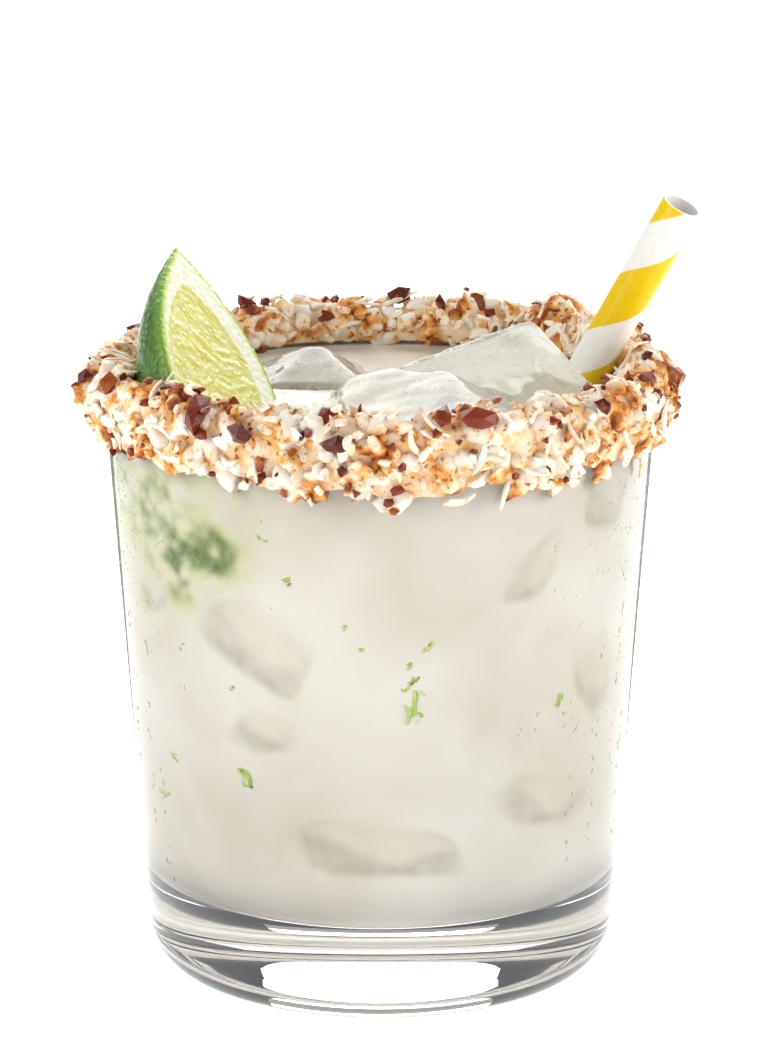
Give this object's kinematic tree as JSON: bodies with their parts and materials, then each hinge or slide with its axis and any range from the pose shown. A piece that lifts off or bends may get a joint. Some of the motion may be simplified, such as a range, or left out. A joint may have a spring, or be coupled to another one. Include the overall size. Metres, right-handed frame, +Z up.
{
  "type": "coconut margarita on the rocks",
  "caption": "Milky iced drink in a heavy-based tumbler, with a toasted coconut rim, a lime cheek, ice standing out of it and a striped paper straw.",
  "frame": {"origin": "centre of the foot ring, on the surface that the glass stands on", "axes": "+Z up the axis of the glass; +Y away from the drinker, so the lime is at -X and the straw leans to +X"},
  "size_m": [0.097, 0.0937, 0.1232],
  "materials": {
    "clear_glass": "polished clear glass",
    "milky_drink": "wet, opaque, milky",
    "coconut_crust": "toasted flakes and crumbs, uneven and dry",
    "lime": "waxy dimpled rind, wet flesh on the cut",
    "paper_straw": "waxed paper with spiral stripes",
    "ice": "wet, slightly cloudy ice"
  },
  "bodies": {
    "root": {"glass": "clear_glass", "drink": "milky_drink", "rim_crust": "coconut_crust", "lime_wedge": "lime", "straw": "paper_straw", "ice_left": "ice", "ice_right": "ice", "ice_front": "ice"}
  },
  "joints": []
}
